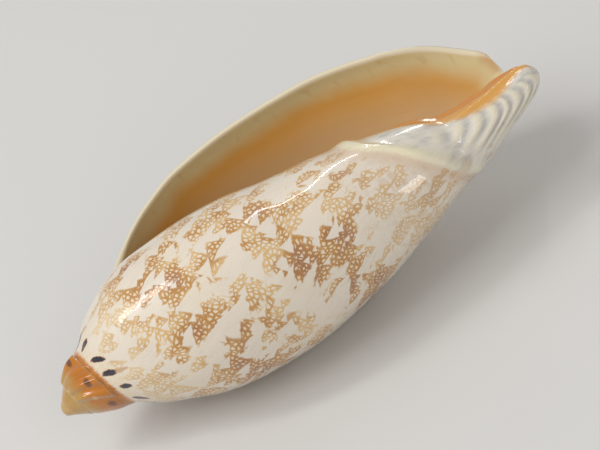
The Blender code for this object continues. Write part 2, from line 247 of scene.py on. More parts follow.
def whorl(turn, depth):
    """Radius of the whorl's outer face, before its suture is fitted to the whorl within."""
    stations = (
        outline(LIP_OUTLINE, depth),
        outline(BACK_OUTLINE, depth),
        outline(FACE_OUTLINE, depth),
        older(BACK_OUTLINE, depth, BACK_FADE),
        older(FACE_OUTLINE, depth, FACE_FADE),
    )
    return np.exp(curve(OUTLINE_TURNS, np.log(np.array(stations)), turn))


def suture(turn):
    return SUTURE_AT_LIP * SUTURE_RATIO ** (-np.asarray(turn, float) / 360)


def corner(turn):
    return suture(turn) + curve(CORNER_TURNS, CORNER_DROPS, turn)


def ridge(turn):
    return curve(RIDGE_TURNS, RIDGE_DEPTHS, turn)


def front_edge(turn):
    """Depth where a column of the outer face ends, at the edge, the tip's loop or the cavity's floor."""
    turn = np.asarray(turn, float)
    edge = curve(EDGE_TURNS, EDGE_DEPTHS, turn)
    return np.where(turn > JOIN_TURN + 360, floor(turn - 360), edge)


def floor(turn):
    """Depth where the cavity ends. Towards the lip it lies past the front edge."""
    turn = np.asarray(turn, float)
    deep = curve(FLOOR_TURNS, FLOOR_DEPTHS, turn)
    return np.where(turn < JOIN_TURN, TIP_LOOP_DEPTH + FLOOR_SLOPE * (JOIN_TURN - turn), deep)


def rib_phase(turn, depth):
    """Number of the growth rib at a point, whole in the middle of each trough."""
    drop = curve(RIB_TURNS, RIB_DROPS, turn + RIB_LEAN * (depth - RIB_LEAN_DEPTH))
    return curve(RIB_TROUGHS, RIB_NUMBERS, depth + drop)


def folds(turn, depth):
    """Height of the folds on the pillar, the ridge round the front end, its growth ribs and its crest."""
    line = ridge(turn)
    share = (depth - line) / (front_edge(turn) - line)
    height = np.zeros_like(share)
    for place in FOLD_SHARES:
        crest = place - FOLD_SLOPE * (turn - 360)
        height += FOLD_HEIGHT * np.exp(-(((share - crest) / FOLD_WIDTH) ** 2))
    height *= ease(*FOLD_TURNS, turn)
    offset = (depth - line) / RIDGE_WIDTH
    height += RIDGE_HEIGHT * between(*RIDGE_TURN_PAIRS, turn) * np.exp(-(offset**2))
    rib = 0.5 - 0.5 * np.cos(2 * math.pi * rib_phase(turn, depth))
    reach = ease(*RIB_BELOW_RIDGE, depth - line) * (1 - ease(*RIB_END, depth))
    height += RIB_HEIGHT * reach * between(*RIB_TURN_PAIRS, turn) * (rib**RIB_POWER - 0.5)
    aside = (turn - CREST_TURN - CREST_SLOPE * (depth - RIB_LEAN_DEPTH)) / CREST_WIDTH
    return height + CREST_HEIGHT * between(*CREST_DEPTH_PAIRS, depth) * np.exp(-(aside**2))


def outer_radius(turn, depth):
    """Radius of the outer face, fitted at its suture to the whorl within."""
    own = suture(turn)
    following = suture(turn - 360)
    height = following - own
    reach = np.clip(SUTURE_REACH * height, *SUTURE_REACH_LIMITS)
    groove = np.minimum(SUTURE_GROOVE, GROOVE_SHARE * height)
    fit = whorl(turn + 360, own) - whorl(turn, own)
    radius = whorl(turn, depth) + fit * np.exp(-np.maximum(depth - own, 0) / reach)
    radius -= groove * np.exp(-np.abs(depth - own) / (GROOVE_WIDTH * reach))
    covered = ease(*COVERED_TURNS, turn)
    radius -= covered * groove * np.exp(-np.abs(depth - following) / (GROOVE_WIDTH * reach))
    return radius + folds(turn, depth)


def wall(turn, depth):
    """Thickness of the outer wall, thin at the lip and by the notch."""
    thickness = LIP_WALL + (FULL_WALL - LIP_WALL) * ease(0, THICKENING_TURN, turn)
    from_edge = curve(EDGE_TURNS, EDGE_DEPTHS, turn) - depth
    near_edge = 1 - ease(0, THINNING_DEPTH, from_edge)
    thin = np.minimum(thickness, NOTCH_WALL)
    return thickness + (thin - thickness) * near_edge


def inner_radius(turn, depth):
    """Radius of the cavity's outer side, which closes on the whorl within at the top and at the floor."""
    inside = outer_radius(turn + 360, depth)
    gap = outer_radius(turn, depth) - wall(turn, depth) - inside
    gap = np.maximum(gap, LEAST_GAP)
    from_top = np.clip((depth - corner(turn)) / TOP_ROUND, 0, 1)
    from_floor = np.clip((floor(turn) - depth) / FLOOR_ROUND, 0, 1)
    opened = np.sqrt(from_top * (2 - from_top)) * np.sqrt(from_floor * (2 - from_floor))
    return inside + gap * opened


def placed(turn, depth, radius):
    """Points in the shell's own frame, with the apex up and the lip's outer side to the right."""
    angle = np.radians(np.asarray(turn, float) + LIP_ANGLE)
    bend = curve(BEND_DEPTHS, BEND_AMOUNTS, depth)
    toward = math.radians(BEND_DIRECTION)
    x = radius * np.cos(angle) + bend * math.cos(toward)
    y = radius * np.sin(angle) + bend * math.sin(toward)
    return np.stack([x, y, -np.asarray(depth, float)], axis=-1)


def turned(vectors):
    """Directions or points of the shell's own frame, turned into the pose."""
    vectors = np.asarray(vectors, float)
    pitch = math.radians(PITCH)
    along = -vectors[..., 2]
    across = vectors[..., 0]
    up = -vectors[..., 1]
    forward = along * math.cos(pitch) - up * math.sin(pitch)
    raised = along * math.sin(pitch) + up * math.cos(pitch)
    return np.stack([forward, across, raised], axis=-1)


def laid_down(points):
    """The shell's own frame turned into the row frame, in metres, with the flat spot on the ground."""
    moved = turned(np.asarray(points) + np.array([0, 0, LENGTH / 2])) - np.array(PLACE)
    moved[..., 2] = np.maximum(moved[..., 2], 0)
    return moved * METRES


def sweep(column_turn):
    """Share of the lip's sweep that a column takes part in."""
    return np.clip(1 - np.asarray(column_turn, float) / SWEEP_TURN, 0, 1) ** SWEEP_FADE


def swept(column_turn, depth, end):
    """Turn of a grid point. Near the lip the columns sweep back at the front, round the lip's corner."""
    return column_turn + curve(SWEEP_PLACES, SWEEP_TURNS, depth - end) * sweep(column_turn)


def column_end(column_turn):
    """Depth where a column ends, at its swept turn."""
    return front_edge(column_turn + SWEEP_TURNS[-1] * sweep(column_turn))


def lower_depths(top, line, end):
    """Depths of the rows from the cavity's top corner over the ridge line to the front end."""
    wall_shares = np.linspace(0, 1, WALL_ROWS + 1)[:-1]
    front_shares = np.linspace(0, 1, FRONT_ROWS + 1)
    upper = top + (line - top) * wall_shares**ROW_CROWDING
    lower = line + (end - line) * front_shares
    return np.concatenate([upper, lower])


def outer_column(turn, rows):
    """Turns, depths and points of the outer face down one column."""
    own = suture(turn)
    following = suture(turn - 360)
    band = own + (following - own) * np.linspace(0, 1, BAND_ROWS + 1)
    end = float(column_end(turn))
    top = float(corner(max(turn - 360, 0))) if turn >= 360 else float(following) + CORNER_DROPS[0]
    depth = np.concatenate([band, lower_depths(top, float(ridge(turn)), end)])[:rows]
    along = swept(turn, depth, end)
    return along.tolist(), depth.tolist(), placed(along, depth, outer_radius(along, depth))


def inner_column(turn):
    """Turns, depths and points of the cavity's outer side down one column."""
    end = float(floor(turn) if turn > JOIN_TURN else column_end(turn))
    depth = lower_depths(float(corner(turn)), float(ridge(turn + 360)), end)
    along = swept(turn, depth, end)
    return along.tolist(), depth.tolist(), placed(along, depth, inner_radius(along, depth))


OUTSIDE, INSIDE = 0, 1

# Distance from the lip that the walls deep inside count as.
FAR_INSIDE = 30.0

# The rounded edge has points at these shares of half a circle, which bulges by a share of its width.
EDGE_SHARES = (0.25, 0.5, 0.75)
EDGE_BULGE = 0.4

# The tip and the apex close in rings at these shares of the way in. The tip counts as this turn.
TIP_SHARES = (0.15, 0.3, 0.45, 0.6, 0.75, 0.9)
TIP_TURN = 330.0
APEX_SHARES = (0.12, 0.25, 0.38, 0.5, 0.62, 0.74, 0.86)
APEX_POWER = 1.3


class Shell:
    """The shell's vertices and faces, on a grid whose sheets share their vertices where they meet.

    Each face corner keeps the turn and depth that it was made at, which the materials read as a map.
    """

    def __init__(self):
        self.points = []
        self.faces = []
        self.maps = []
        self.sides = []
        self.step = 360 / COLUMNS
        self.last_row = BAND_ROWS + 1 + WALL_ROWS + FRONT_ROWS
        self.corner_row = BAND_ROWS + 1
        self.join = round(JOIN_TURN / self.step)
        self.cavity = round(CAVITY_TURN / self.step)
        self.outer_sheet()
        self.inner_sheet()
        self.cover()
        self.close_edge()
        self.close_tip()
        self.close_apex()
        self.close_cavity()

    def add(self, point):
        self.points.append(tuple(point))
        return len(self.points) - 1

    def face(self, side, *corners):
        """A face from (vertex, turn, depth) corners, with repeated vertices left out."""
        kept = [c for i, c in enumerate(corners) if c[0] != corners[i - 1][0]]
        if len(kept) > 2:
            self.faces.append([c[0] for c in kept])
            self.maps.extend((c[1], c[2]) for c in kept)
            self.sides.append(side)

    def outer_sheet(self):
        self.outer = []
        for i in range(SPIRE_TURNS * COLUMNS + 1):
            shown = i <= COLUMNS + self.cavity
            rows = self.last_row + 1 if shown else self.corner_row
            turns, depths, points = outer_column(i * self.step, rows)
            column = []
            for j in range(rows):
                joined = j == BAND_ROWS and i >= COLUMNS
                vertex = self.outer[i - COLUMNS][0][0] if joined else self.add(points[j])
                column.append((vertex, turns[j], depths[j]))
            self.outer.append(column)

    def inner_sheet(self):
        self.inner = []
        for i in range(self.cavity + 1):
            turns, depths, points = inner_column(i * self.step)
            column = [None] * self.corner_row
            for k in range(len(depths)):
                j = self.corner_row + k
                joined = k == 0 or (j == self.last_row and i >= self.join)
                vertex = self.outer[i + COLUMNS][j][0] if joined else self.add(points[k])
                column.append((vertex, turns[k], depths[k]))
            self.inner.append(column)

    def cover(self):
        """Faces of the body whorl, the spire, the inner lip with the pillar, and the cavity's side."""
        for i in range(SPIRE_TURNS * COLUMNS):
            here, there = self.outer[i], self.outer[i + 1]
            inner_lip = COLUMNS <= i < COLUMNS + self.cavity
            rows = range(self.last_row) if i < COLUMNS else range(BAND_ROWS)
            for j in rows:
                self.face(OUTSIDE, here[j], here[j + 1], there[j + 1], there[j])
            if inner_lip:
                for j in range(self.corner_row, self.last_row):
                    self.face(INSIDE, here[j], here[j + 1], there[j + 1], there[j])
        for i in range(self.cavity):
            here, there = self.inner[i], self.inner[i + 1]
            for j in range(self.corner_row, self.last_row):
                self.face(INSIDE, here[j], there[j], there[j + 1], here[j + 1])

    def edge_arc(self, outside, within, facing):
        """Points between the two faces of the wall, moved out past the edge to round it."""
        a = np.array(self.points[outside[0]])
        b = np.asarray(within)
        out = a - np.array(self.points[facing[0]])
        out /= np.linalg.norm(out)
        arc = []
        for share in EDGE_SHARES:
            angle = share * math.pi
            middle = a + (b - a) * (1 - math.cos(angle)) / 2
            point = middle + out * EDGE_BULGE * np.linalg.norm(b - a) * math.sin(angle)
            arc.append((self.add(point), outside[1], outside[2]))
        return arc

    def close_edge(self):
        """The rounded edge of the lip and of the front end, up to where it meets the tip."""
        outside = self.outer[0]
        strips = [[outside[0]] for _ in EDGE_SHARES]
        for j in range(1, self.last_row + 1):
            turn, depth = outside[j][1], outside[j][2]
            facing = self.outer[1][j] if j < self.last_row else self.outer[1][j - 1]
            outward = outer_radius(turn, depth)
            inward = np.maximum(outward - wall(turn, depth), outer_radius(turn + 360, depth))
            within = placed(turn, depth, inward).reshape(3)
            for strip, point in zip(strips, self.edge_arc(outside[j], within, facing)):
                strip.append(point)
        lines = [outside] + strips
        for first, second in zip(lines, lines[1:]):
            for j in range(1, len(first)):
                self.face(INSIDE, first[j - 1], first[j], second[j], second[j - 1])
        self.zip_rows(strips[-1], [outside[0]] + self.inner[0][self.corner_row :])
        previous = [strip[-1] for strip in strips]
        for i in range(1, self.join + 1):
            a, b = self.outer[i][-1], self.inner[i][-1]
            arc = self.edge_arc(a, self.points[b[0]], self.outer[i][-2])
            before = [self.outer[i - 1][-1]] + previous + [self.inner[i - 1][-1]]
            after = [a] + arc + [b]
            for k in range(len(before) - 1):
                self.face(INSIDE, before[k], after[k], after[k + 1], before[k + 1])
            previous = arc
        self.edge_end = previous

    def zip_rows(self, first, second):
        """Triangles between two lines of points that start together and run down side by side."""
        a = b = 0
        while a < len(first) - 1 or b < len(second) - 1:
            first_ended, second_ended = a == len(first) - 1, b == len(second) - 1
            if second_ended or (not first_ended and first[a + 1][2] < second[b + 1][2]):
                self.face(INSIDE, first[a], first[a + 1], second[b])
                a += 1
            else:
                self.face(INSIDE, first[a], second[b + 1], second[b])
                b += 1

    def close_tip(self):
        loop = [self.outer[i][-1] for i in range(self.join, self.join + COLUMNS + 1)]
        loop += reversed(self.edge_end)
        tip = placed(0.0, LENGTH, 0.0).reshape(3)
        before = loop
        for share in TIP_SHARES:
            ring = []
            for vertex, turn, depth in loop:
                point = np.array(self.points[vertex])
                moved = point + (tip - point) * share
                moved[2] = point[2] + (tip[2] - point[2]) * math.sin(share * math.pi / 2)
                ring.append((self.add(moved), turn, depth + share))
            self.ring_faces(before, ring)
            before = ring
        self.fan(before, (self.add(tip), TIP_TURN, LENGTH))

    def close_apex(self):
        last = SPIRE_TURNS * COLUMNS
        loop = [self.outer[i][0] for i in range(last - COLUMNS, last + 1)]
        loop += [self.outer[last][j] for j in range(1, BAND_ROWS)]
        depths = np.array([-self.points[c[0]][2] for c in loop])
        start = last * self.step - 360
        even = start + 360 * np.arange(len(loop)) / len(loop)
        own = [start + i * self.step for i in range(COLUMNS + 1)] + [start + 360.0] * (BAND_ROWS - 1)
        own = np.array(own)
        before = loop
        for share in APEX_SHARES:
            around = own + (even - own) * share
            depth = depths * (1 - share) ** APEX_POWER
            radius = outline(SPIRE, depth)
            ring = [
                (self.add(point), float(turn), float(down))
                for point, turn, down in zip(placed(around, depth, radius), around, depth)
            ]
            self.ring_faces(ring, before)
            before = ring
        self.fan(before, (self.add(placed(0.0, 0.0, 0.0).reshape(3)), start, 0.0))

    def close_cavity(self):
        here = self.inner[self.cavity]
        there = self.outer[self.cavity + COLUMNS]
        for j in range(self.corner_row, self.last_row):
            self.face(INSIDE, here[j], there[j], there[j + 1], here[j + 1])

    def ring_faces(self, first, second):
        for i in range(len(first)):
            self.face(OUTSIDE, first[i - 1], first[i], second[i], second[i - 1])

    def fan(self, ring, centre):
        for i in range(len(ring)):
            self.face(OUTSIDE, ring[i - 1], ring[i], centre)


class Graph:
    """A material's node tree, built from formulas."""

    def __init__(self, material):
        material.use_nodes = True
        self.tree = material.node_tree
        self.surface = self.tree.nodes["Principled BSDF"]

    def link(self, value, socket):
        if isinstance(value, Field):
            self.tree.links.new(value.socket, socket)
        else:
            socket.default_value = value

    def node(self, kind, *values, **settings):
        """A new node with these settings, and these values on its first inputs in use."""
        made = self.tree.nodes.new(kind)
        for name, value in settings.items():
            setattr(made, name, value)
        for value, socket in zip(values, [s for s in made.inputs if s.enabled]):
            self.link(value, socket)
        return made

    def field(self, kind, *values, **settings):
        """The first output in use of a new node."""
        made = self.node(kind, *values, **settings)
        return Field(self, [s for s in made.outputs if s.enabled][0])

    def parts(self, kind, value):
        return [Field(self, s) for s in self.node(kind, value).outputs]

    def math(self, operation, *values):
        return self.field("ShaderNodeMath", *values, operation=operation)

    def vector(self, x, y, z=0):
        return self.field("ShaderNodeCombineXYZ", x, y, z)

    def map(self, name):
        return self.parts("ShaderNodeSeparateXYZ", self.field("ShaderNodeUVMap", uv_map=name))[:2]

    def noise(self, x, y, scale, detail=2, seed=0):
        """Smooth noise of mean about 0.5 over two coordinates in millimetres."""
        place = self.vector(x, y, seed)
        return self.field("ShaderNodeTexNoise", place, scale, detail, noise_dimensions="3D")

    def cells(self, x, y):
        """Distance from the nearest border in a field of round cells, about one unit wide."""
        place = self.vector(x, y)
        found = []
        for feature in ("DISTANCE_TO_EDGE", "F1"):
            made = self.node("ShaderNodeTexVoronoi", place, 1, voronoi_dimensions="2D", feature=feature)
            made.inputs["Randomness"].default_value = CELL_SCATTER
            found.append(Field(self, made.outputs["Distance"]))
        border, centre = found
        return border - centre * CELL_ROUNDING + CELL_LIFT

    def chances(self, x, y, seed):
        """Three random numbers for each whole-number cell."""
        made = self.node("ShaderNodeTexWhiteNoise", self.vector(x, y, seed), noise_dimensions="3D")
        return self.parts("ShaderNodeSeparateColor", Field(self, made.outputs["Color"]))

    def distance(self, place, point):
        return self.field("ShaderNodeVectorMath", place, point, operation="DISTANCE")

    def nearness(self, place, spots):
        """1 at the centre of each spot, falling to 0 at its radius and below 0 outside."""
        nears = []
        for turn, depth, radius in spots:
            gap = self.distance(place, (turn * TURN_WIDTH, depth, 0))
            nears.append(self.math("MULTIPLY_ADD", gap, -1 / radius, 1))
        return reduce(Field.most, nears)

    def step(self, low, high, value):
        """0 below low, 1 above high and smooth between. The limits may also fall."""
        return self.field("ShaderNodeMapRange", value, low, high, 0, 1, interpolation_type="SMOOTHSTEP")

    def between(self, rise, fall, value):
        return self.step(*rise, value) * self.step(*fall, value)

    def mix(self, share, first, second):
        colours = [c if isinstance(c, Field) else (*c, 1) for c in (first, second)]
        return self.field("ShaderNodeMix", share, *colours, data_type="RGBA")

    def over(self, colour, *layers):
        """The colour with others laid over it, each by its share."""
        for share, layer in layers:
            colour = self.mix(share, colour, layer)
        return colour

    def bump(self, height, strength):
        made = self.node("ShaderNodeBump")
        for name, value in (("Strength", strength), ("Distance", BUMP_HEIGHT), ("Height", height)):
            self.link(value, made.inputs[name])
        self.tree.links.new(made.outputs[0], self.surface.inputs["Normal"])

    def finish(self, *values):
        """Sets the colour, the roughness, and the coat's weight and roughness if given."""
        names = ("Base Color", "Roughness", "Coat Weight", "Coat Roughness")
        for name, value in zip(names, values):
            self.link(value, self.surface.inputs[name])


def operation(name, swapped=False):
    """A method of Field that adds one math node."""

    def method(self, *others):
        values = (*others, self) if swapped else (self, *others)
        return self.graph.math(name, *values)

    return method


class Field:
    """A value at each point of the surface."""

    def __init__(self, graph, socket):
        self.graph = graph
        self.socket = socket

    __add__ = __radd__ = operation("ADD")
    __mul__ = __rmul__ = operation("MULTIPLY")
    __sub__ = operation("SUBTRACT")
    __rsub__ = operation("SUBTRACT", swapped=True)
    __truediv__ = operation("DIVIDE")
    floor = operation("FLOOR")
    abs = operation("ABSOLUTE")
    sin = operation("SINE")
    cos = operation("COSINE")
    least = operation("MINIMUM")
    most = operation("MAXIMUM")


# Colours as linear light.
PORCELAIN = (0.76, 0.675, 0.56)
GREYED = (0.64, 0.56, 0.475)
CREAM = (0.76, 0.61, 0.38)
PALE_OCHRE = (0.66, 0.43, 0.18)
OCHRE = (0.5, 0.25, 0.065)
RUST = (0.38, 0.17, 0.075)
INK = (0.025, 0.025, 0.04)
AMBER = (0.5, 0.165, 0.006)
BURNT = (0.13, 0.04, 0.012)
STRAW = (0.46, 0.265, 0.07)
SUTURE_CREAM = (0.62, 0.43, 0.21)
# CALLUS is also the painted highlight on the crests of the pillar's folds.
CALLUS = (0.7, 0.65, 0.555)
# SLATE is also the painted shade in the troughs of the front ribs.
SLATE = (0.4, 0.395, 0.395)
ORANGE = (0.68, 0.34, 0.075)
RED_ORANGE = (0.6, 0.24, 0.045)
GOLD = (0.62, 0.31, 0.065)
PEACH = (0.62, 0.385, 0.175)
LIP_CREAM = (0.64, 0.51, 0.26)
# RIDGE_CREAM is also the painted highlight on the crests of the front ribs.
RIDGE_CREAM = (0.8, 0.72, 0.5)
TAN = (0.56, 0.36, 0.2)
LIP_SPOT = (0.5, 0.27, 0.1)
LIP_WHITE = (0.76, 0.67, 0.48)

# Width of one degree of turn in the pattern, and the slant of the growth lines against the axis.
TURN_WIDTH = 0.3
GROWTH_SLANT = 21

# Zones of the pattern. Each pair is where a zone has faded out and where it is full, in turn, depth,
# distance from suture or lip, or share of the way from the ridge to the front end.
SEEN_SIDE = ((136, 150), (346, 332))
UPPER_NET = (24, 17)
LOWER_NET = (60, 74)
STREAKED_GROUND = (62, 76)
SUTURE_BAND = (4.6, 3)
SUTURE_STAIN = (1.25, 0.45)
SPIRE_START = (372, 430)
PALE_SPIRE = (640, 780)
BURNT_SPIRE = (600, 500)
FRONT_TURNS = ((100, 140), (420, 400))
FRONT_SHARE = (-0.075, -0.02)
RIDGE_SHADE = (-0.24, -0.09)
RIBBED_SHARE = (0.1, 0.28)
RIBBED_RISE = (155, 200)
RIBBED_FALL = (272, 246)
STAINED_TURNS = (228, 195)
STAINED_SHARE = (0.5, 0.25)
TIP_DEPTHS = (100, 108)
GLAZED_RISE = (338, 358)
GLAZED_DEPTHS = (18, 24)
GLAZED_FALL = (372, 362)
PILLAR_SHARE = (0.08, 0.22)
PILLAR_RISE = (355, 362)
PILLAR_FALL = (520, 440)
RIM_CREAM = (6.5, 1.8)
RIM_SPOTS = (4.2, 2.4)
RIM_WHITE = (0.7, 0)
INNER_PEACH = (5, 13)

# Height of the fine relief in metres, its strength by face, and each face's coat: weight, roughness.
BUMP_HEIGHT = 0.00012
OUTSIDE_RELIEF = 0.36
INSIDE_RELIEF = 0.4
OUTSIDE_COAT = (0.7, 0.035)
INSIDE_COAT = (0.2, 0.1)

# Clusters of the net on the side of the shell with the opening: turn, depth and radius.
CLUSTERS = (
    (310, 22, 4), (301, 26, 6), (288, 33, 4), (276, 25, 5), (272, 30, 6), (258, 32, 5), (246, 25, 3.5),
    (235, 29, 5.5), (229, 34, 4.5), (216, 36, 4.5), (203, 28, 3.5), (203, 36, 3.5), (196, 39, 3),
    (192, 32, 4.5), (185, 29, 4), (176, 34, 5), (174, 39, 4.5), (262, 40, 5.5), (288, 41, 3.5),
    (298, 47, 5.5), (283, 46, 5), (272, 50, 5.5), (297, 53, 4), (258, 48, 3), (241, 50, 5),
    (243, 54, 4.5), (257, 57, 5.5), (228, 53, 5.5), (216, 54, 4.5), (225, 61, 5), (214, 60, 4),
    (207, 44, 4), (211, 48, 3), (186, 46, 4), (188, 56, 4.5), (192, 61, 4), (200, 65, 3.5),
    (173, 63, 3.5), (184, 65, 4.5), (169, 67, 4.5), (157, 60, 5), (230, 42, 4), (268, 69, 3.5),
    (290, 68, 3), (237, 75, 4), (222, 71, 4), (198, 81, 6), (176, 82, 4), (205, 76, 3), (316, 48, 4),
    (318, 62, 4), (165, 48, 3.5), (160, 33, 4), (330, 35, 5), (330, 55, 5), (191, 22, 4),
    (214, 20.5, 3.5), (236, 20, 4), (258, 21, 3), (171, 25, 4), (166, 41, 4), (290, 24, 3.5),
    (217, 46, 3), (251, 64, 4), (238, 66, 3.5), (174, 74, 4.5), (163, 78, 5), (186, 72, 4), (213, 77, 4),
    (296, 17, 3), (281, 16.5, 3), (262, 15.5, 3), (245, 16, 3.5), (225, 16, 3), (205, 17.5, 3.5),
    (190, 17, 3), (175, 18.5, 3.5), (271, 20, 2.5), (291, 20, 3), (248, 72, 3.5), (278, 63, 3),
    (303, 62, 4), (305, 38, 4), (172, 56, 3.5), (222, 25, 3),
)

# Places where the net is darkest: turn, depth and radius.
DARK_PLACES = (
    (274, 27, 6), (264, 32, 4), (230, 29, 4), (216, 36, 5), (203, 36, 4), (175, 36, 7), (192, 33, 4),
    (222, 53, 7), (225, 61, 6), (191, 59, 6), (157, 60, 7), (170, 64, 5), (198, 81, 7), (268, 69, 5),
    (272, 51, 4), (302, 26, 4),
)

# White tents, largest first: size along the growth, size along the growth lines, and seed.
WHITE_TENTS = ((6, 13, 1), (4.4, 6.2, 2), (3.1, 4.2, 3), (2.1, 2.7, 5))

# White tents on the side with the opening: turn and depth of the middle, length along the growth, height.
PLACED_TENTS = (
    (254, 27.5, 5.6, 4.6), (244, 33.5, 5.2, 7.5), (249, 43, 4.2, 9), (218, 33.5, 4.2, 4.4),
    (203, 31, 3.8, 5), (192, 37.5, 5.6, 6.5), (283, 35, 4, 4), (283, 49.2, 4.4, 3.4), (256, 52, 4.6, 4),
    (240, 58, 5, 5.5), (229, 50.5, 4.2, 3), (189, 62.5, 3.6, 5), (178, 67, 3.6, 4.2), (201, 67.5, 4.8, 6),
    (190, 45, 5, 3.8), (222, 40, 4.6, 6), (293, 29, 5, 7), (206, 51, 5, 13), (271, 40, 3.6, 3.6),
    (180, 56, 5, 8),
)

# A brown stain on the rim at the lip's front corner: turn and depth.
LIP_STAIN = (27, 105)

# Where a tent's point lies, as a share of its height, and the share of cells that have a tent.
TENT_POINT = 0.3
TENT_SHARE = (0.8, 0.82)

# The small pale dots of the net: spacing along the growth and along the growth lines, scatter, and the
# rounding and lift of their edge.
DOT_SPACING = (1, 0.86)
CELL_SCATTER = 0.8
CELL_ROUNDING = 0.35
CELL_LIFT = 0.12

# The dashes below the suture, and the dark spots on the spire's band: spacing in turn, shift as a share of
# it, and middle. The spots' middle and height are shares of the whorl's height.
DASH_SPACING = 25.4
DASH_START = 0.2
DASH_MIDDLE = 2.55
SPOT_SPACING = 54
SPOT_START = 0.31
SPOT_MIDDLE = 0.69
SPOT_SIZE = (9, 0.11)


def tents(graph, growth, line, width, height, seed):
    """Distance inside a layer of scattered triangles, negative outside.

    Each has its base across the growth and its point ahead of it, nearer to its upper end.
    """
    row = (line / height).floor()
    shift = graph.chances(row, 0, seed)[0]
    place = growth / width + shift * 7
    cell = place.floor()
    present, size, side = graph.chances(cell, row, seed + 3.7)
    scale = size * 0.5 + 0.5
    x = (place - cell) / scale
    y = (line / height - row - 0.5 + (side - 0.5) * 0.25) / scale + 0.5
    lower = 1 - x * (1 - TENT_POINT) - y
    inside = x.least(y - x * TENT_POINT).least(lower) * scale * min(width, height)
    return inside - graph.step(*TENT_SHARE, present) * 2


def slanted(across, depth):
    """Distance along the growth, and along the growth lines."""
    sine, cosine = math.sin(math.radians(GROWTH_SLANT)), math.cos(math.radians(GROWTH_SLANT))
    return depth * sine - across * cosine, across * sine + depth * cosine


def placed_tents(graph, growth, line):
    """The same distance for the tents that have places of their own."""
    insides = []
    for turn, depth, length, height in PLACED_TENTS:
        base, top = slanted(turn * TURN_WIDTH, depth)
        x = graph.math("MULTIPLY_ADD", growth, 1 / length, -(base - length / 2) / length)
        y = graph.math("MULTIPLY_ADD", line, 1 / height, -(top - height / 2) / height)
        upper = graph.math("MULTIPLY_ADD", x, -TENT_POINT, y)
        lower = graph.math("MULTIPLY_ADD", x, TENT_POINT - 1, 1) - y
        insides.append(x.least(upper).least(lower) * min(length, height))
    return reduce(Field.most, insides)


def net_colour(graph, turn, depth):
    """The porcelain ground with its net of small pale dots in ochre and rust, broken by white tents."""
    step, mix, over, noise = graph.step, graph.mix, graph.over, graph.noise
    across = turn * TURN_WIDTH
    drift = noise(across, depth, 0.12, 1, seed=4) - 0.5
    jitter = noise(across, depth, 1.3, seed=9) - 0.5
    plain_growth, plain_line = slanted(across, depth)
    growth = plain_growth + drift * 5 + jitter * 0.5
    line = plain_line - drift * 3 + jitter * 0.4
    near = graph.nearness(graph.vector(across, depth), CLUSTERS).most(0)
    wide = noise(across, depth, 0.1, seed=20)
    unseen = (wide - 0.5) * 3.2 + 0.36 + ((depth - 24) * 0.37).sin() * 0.12
    seen = graph.between(*SEEN_SIDE, turn)
    small = noise(across, depth, 0.35, seed=22) - 0.5
    dense = (seen * near * 2.6 + (1 - seen) * unseen + small * 0.9).most(0).least(1)
    bare = 1 - dense
    layers = [tents(graph, growth + s * 1.7, line + s * 0.9, w, h, s) for w, h, s in WHITE_TENTS]
    own = placed_tents(graph, plain_growth + jitter * 1.2, plain_line + jitter * 0.8)
    own = own - (1 - seen) * 9
    shapes = reduce(Field.most, layers).most(own)
    white = (shapes + bare * bare * 1.5 - 0.4).most(own)
    dots = graph.cells(growth / DOT_SPACING[0], line / DOT_SPACING[1])
    dark = graph.nearness(graph.vector(across, depth), DARK_PLACES).most(0)
    tone = noise(across, depth, 0.2, seed=31) + seen * (dark * 0.5 - 0.1)
    filled = step(0.56, 0.68, noise(across, depth, 0.8, 1, seed=33))
    thick = step(0.3, 0.8, tone) * (filled * 0.25 + 0.09) + 0.17
    faded = step(*LOWER_NET, depth)
    high = step(*UPPER_NET, depth)
    paled = (step(0.65, 0.15, dense) * 0.6).most(faded * 0.3).most(high * 0.55)
    stroke = mix(step(0.32, 0.52, tone), PALE_OCHRE, OCHRE)
    stroke = over(stroke, (step(0.5, 0.9, tone), RUST), (faded * 0.5, TAN), (paled, CREAM))
    dot = mix(step(0.35, 0.7, tone), PORCELAIN, CREAM)
    netted = mix(step(thick - 0.16, thick + 0.14, dots), stroke, dot)
    # A stroke closes the net along each tent.
    rim = step(-0.34, -0.17, white) * step(0.35, 0.7, dense)
    netted = mix(rim * 0.9, netted, stroke)
    streak = noise(growth * 1.6, line * 0.12, 1, seed=36)
    greyed = (step(0.45, 0.8, streak) * 0.45, GREYED)
    warmed = (step(0.5, 0.75, wide) * 0.22, CREAM)
    # Thin lines run on along the tents' edges, and faint streaks lie along the growth near the ridge.
    border = step(0.24, 0.04, shapes.abs()) * step(0.04, 0.45, dense + small * 0.8)
    streaks = noise(across * 0.12, depth * 0.5 + across * 0.06, 1, seed=38)
    low = step(*STREAKED_GROUND, depth) * step(0.5, 0.72, streaks + small * 0.2)
    ground = over(PORCELAIN, greyed, warmed, (border * 0.75, stroke), (low * 0.45, TAN))
    return mix(step(-0.13, 0.13, white), netted, ground), growth, line, jitter


def dash_shape(graph, turn, below, jitter):
    """1 on the dark dashes below the suture, and 1 on the ochre trails that some have."""
    place = turn / DASH_SPACING + DASH_START
    cell = place.floor()
    wide, shift, long = graph.chances(cell, 1, 40)
    lean = (below - DASH_MIDDLE) * (shift * 3.5 + 0.5)
    aside = ((place - cell - 0.5 + (shift - 0.5) * 0.2) * DASH_SPACING + lean) / (wide * 1.2 + 3.3)
    along = (below - DASH_MIDDLE + (long - 0.5) * 0.5) / (long * 0.5 + 1)
    dash = graph.step(1.6, 0.2, aside * aside + along * along + jitter * 1.5)
    past = (below - DASH_MIDDLE - 1.7) / 1.7
    trail = graph.step(1.2, 0.2, aside * aside * 1.5 + past * past + jitter * 2.5)
    return dash, trail * graph.step(0.3, 0.5, long)


